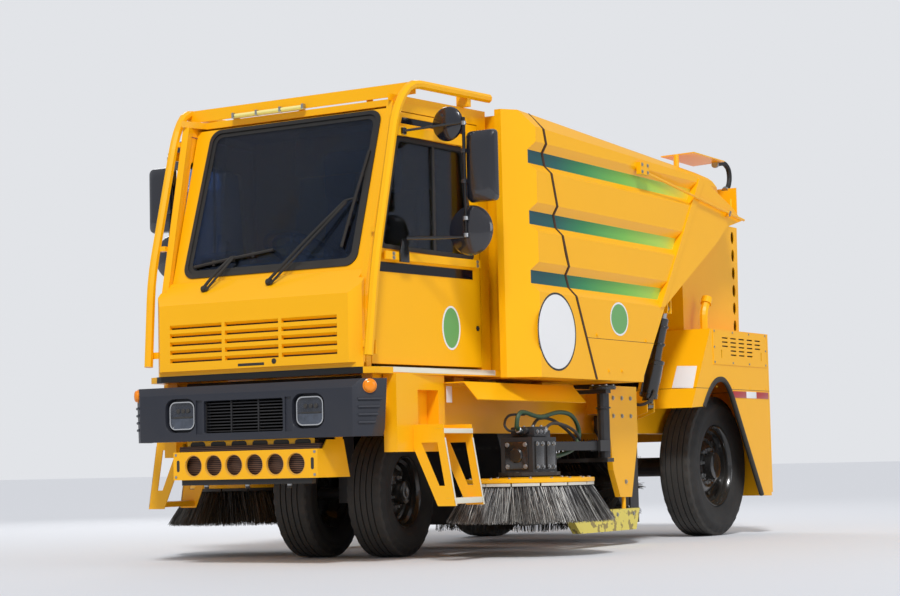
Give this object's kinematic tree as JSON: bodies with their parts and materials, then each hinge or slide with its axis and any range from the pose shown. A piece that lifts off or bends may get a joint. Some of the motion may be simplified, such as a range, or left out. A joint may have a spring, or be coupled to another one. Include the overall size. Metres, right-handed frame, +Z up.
{
  "type": "street sweeper truck",
  "caption": "Mechanical street sweeper with a forward cab, twin guide wheel, side tipping hopper, gutter brooms and a pickup broom under the frame.",
  "frame": {"origin": "centre of the plan view at ground level under the wheels", "axes": "+X to the truck's left, +Y towards its rear, +Z up"},
  "size_m": [3.22, 4.987, 2.8425],
  "materials": {
    "yellow_paint": "gloss",
    "black_paint": "satin",
    "bumper_paint": "matt",
    "tyre_rubber": "matt",
    "cab_glass": "polished",
    "lamp_glass": "polished",
    "ram_steel": "polished",
    "bristle_steel": "brushed",
    "grey_plastic": "matt",
    "seat_fabric": "woven"
  },
  "bodies": {
    "truck": {"chassis_frame": "yellow_paint", "lower_guard": "yellow_paint", "cab_floor": "yellow_paint", "cab_frame": "yellow_paint", "nose_panel": "yellow_paint", "windshield_frame": "yellow_paint", "cab_roof": "yellow_paint", "cab_guard": "yellow_paint", "left_side_skirt": "yellow_paint", "right_side_skirt": "yellow_paint", "elevator_housing": "yellow_paint", "left_shoe_post": "yellow_paint", "right_shoe_post": "yellow_paint", "rear_fenders": "yellow_paint", "rear_housing": "yellow_paint", "drive_axle": "black_paint", "left_broom_post": "black_paint", "right_broom_post": "black_paint", "elevator_chute": "black_paint", "engine_block": "black_paint", "front_bumper": "bumper_paint", "windshield": "cab_glass", "rear_window": "cab_glass", "left_headlamp": "lamp_glass", "right_headlamp": "lamp_glass", "dash_console": "grey_plastic", "seat": "seat_fabric"},
    "steering_fork": {"guide_fork": "black_paint"},
    "guide_wheels": {"left_guide_tyre": "tyre_rubber", "left_guide_rim": "black_paint", "right_guide_tyre": "tyre_rubber", "right_guide_rim": "black_paint"},
    "left_drive_wheel": {"left_drive_tyre": "tyre_rubber", "left_drive_rim": "black_paint"},
    "right_drive_wheel": {"right_drive_tyre": "tyre_rubber", "right_drive_rim": "black_paint"},
    "left_cab_door": {"left_door": "yellow_paint", "left_door_glass": "cab_glass", "left_mirrors": "black_paint"},
    "right_cab_door": {"right_door": "yellow_paint", "right_door_glass": "cab_glass", "right_mirrors": "black_paint"},
    "tipping_hopper": {"hopper": "yellow_paint"},
    "dump_door": {"hopper_dump_door": "yellow_paint"},
    "lift_ram_barrel": {"ram_barrel": "black_paint"},
    "lift_ram_stage_1": {"ram_stage_1": "ram_steel"},
    "lift_ram_stage_2": {"ram_stage_2": "ram_steel"},
    "lift_ram_rod": {"ram_rod": "ram_steel"},
    "left_swing": {"left_broom_swing": "black_paint"},
    "right_swing": {"right_broom_swing": "black_paint"},
    "left_lift_arm": {"left_broom_motor": "black_paint"},
    "right_lift_arm": {"right_broom_motor": "black_paint"},
    "left_brush": {"left_gutter_broom": "bristle_steel"},
    "right_brush": {"right_gutter_broom": "bristle_steel"},
    "broom_arms": {"main_broom_arms": "black_paint"},
    "pickup_broom": {"main_broom": "bristle_steel"}
  },
  "joints": [
    {"name": "steering_pivot", "type": "hinge", "parent": "truck", "child": "steering_fork", "pos_m": [0, -1.3455, 0.87], "axis": [0, 0, 1], "range_deg": [-47.2, 32.8]},
    {"name": "guide_wheels_spin", "type": "hinge", "parent": "steering_fork", "child": "guide_wheels", "pos_m": [0, -1.3455, 0.398], "axis": [0.9921, 0.1253, 0], "continuous": true},
    {"name": "left_drive_spin", "type": "hinge", "parent": "truck", "child": "left_drive_wheel", "pos_m": [0.9275, 1.8745, 0.508], "axis": [1, 0, 0], "continuous": true},
    {"name": "right_drive_spin", "type": "hinge", "parent": "truck", "child": "right_drive_wheel", "pos_m": [-0.9275, 1.8745, 0.508], "axis": [1, 0, 0], "continuous": true},
    {"name": "left_door_hinge", "type": "hinge", "parent": "truck", "child": "left_cab_door", "pos_m": [0.7835, -2.27051, 1.4], "axis": [0, 0, -1], "range_deg": [0, 70]},
    {"name": "right_door_hinge", "type": "hinge", "parent": "truck", "child": "right_cab_door", "pos_m": [-0.7835, -2.27051, 1.4], "axis": [0, 0, 1], "range_deg": [0, 70]},
    {"name": "hopper_tip", "type": "hinge", "parent": "truck", "child": "tipping_hopper", "pos_m": [-1.12, 0.0065, 1.03], "axis": [0, -1, 0], "range_deg": [0, 45]},
    {"name": "dump_door_hinge", "type": "hinge", "parent": "tipping_hopper", "child": "dump_door", "pos_m": [-1.236, 0.1065, 2.558], "axis": [0, 1, 0], "range_deg": [0, 80]},
    {"name": "ram_foot_pivot", "type": "hinge", "parent": "truck", "child": "lift_ram_barrel", "pos_m": [1, 0.8065, 0.94], "axis": [0, -1, 0], "range_deg": [0, 38]},
    {"name": "ram_stage_1_slide", "type": "slide", "parent": "lift_ram_barrel", "child": "lift_ram_stage_1", "axis": [0.2356, 0, 0.9719], "range_m": [0, 0.54]},
    {"name": "ram_stage_2_slide", "type": "slide", "parent": "lift_ram_stage_1", "child": "lift_ram_stage_2", "axis": [0.2356, 0, 0.9719], "range_m": [0, 0.54]},
    {"name": "ram_rod_slide", "type": "slide", "parent": "lift_ram_stage_2", "child": "lift_ram_rod", "axis": [0.2356, 0, 0.9719], "range_m": [0, 0.54]},
    {"name": "left_broom_swing", "type": "hinge", "parent": "truck", "child": "left_swing", "pos_m": [1.14, -0.1335, 0.66], "axis": [0, 0, 1], "range_deg": [0, 25]},
    {"name": "right_broom_swing", "type": "hinge", "parent": "truck", "child": "right_swing", "pos_m": [-1.14, -0.1335, 0.66], "axis": [0, 0, -1], "range_deg": [0, 25]},
    {"name": "left_broom_lift", "type": "hinge", "parent": "left_swing", "child": "left_lift_arm", "pos_m": [1.14, -0.2435, 0.66], "axis": [1, 0, 0], "range_deg": [0, 8]},
    {"name": "right_broom_lift", "type": "hinge", "parent": "right_swing", "child": "right_lift_arm", "pos_m": [-1.14, -0.2435, 0.66], "axis": [1, 0, 0], "range_deg": [0, 8]},
    {"name": "left_brush_spin", "type": "hinge", "parent": "left_lift_arm", "child": "left_brush", "pos_m": [1.08, -1.0335, 0.44], "axis": [0, 0, 1], "continuous": true},
    {"name": "right_brush_spin", "type": "hinge", "parent": "right_lift_arm", "child": "right_brush", "pos_m": [-1.08, -1.0335, 0.44], "axis": [0, 0, 1], "continuous": true},
    {"name": "main_broom_lift", "type": "hinge", "parent": "truck", "child": "broom_arms", "pos_m": [0, 0.4565, 0.82], "axis": [-1, 0, 0], "range_deg": [0, 5]},
    {"name": "main_broom_spin", "type": "hinge", "parent": "broom_arms", "child": "pickup_broom", "pos_m": [0, 0.9265, 0.39], "axis": [1, 0, 0], "continuous": true}
  ],
  "couplings": [
    {"joint": "ram_foot_pivot", "follows": "hopper_tip", "ratio": 0.8227},
    {"joint": "ram_stage_1_slide", "follows": "hopper_tip", "m_per_rad": 0.6853},
    {"joint": "ram_stage_2_slide", "follows": "hopper_tip", "m_per_rad": 0.6853},
    {"joint": "ram_rod_slide", "follows": "hopper_tip", "m_per_rad": 0.6853}
  ]
}
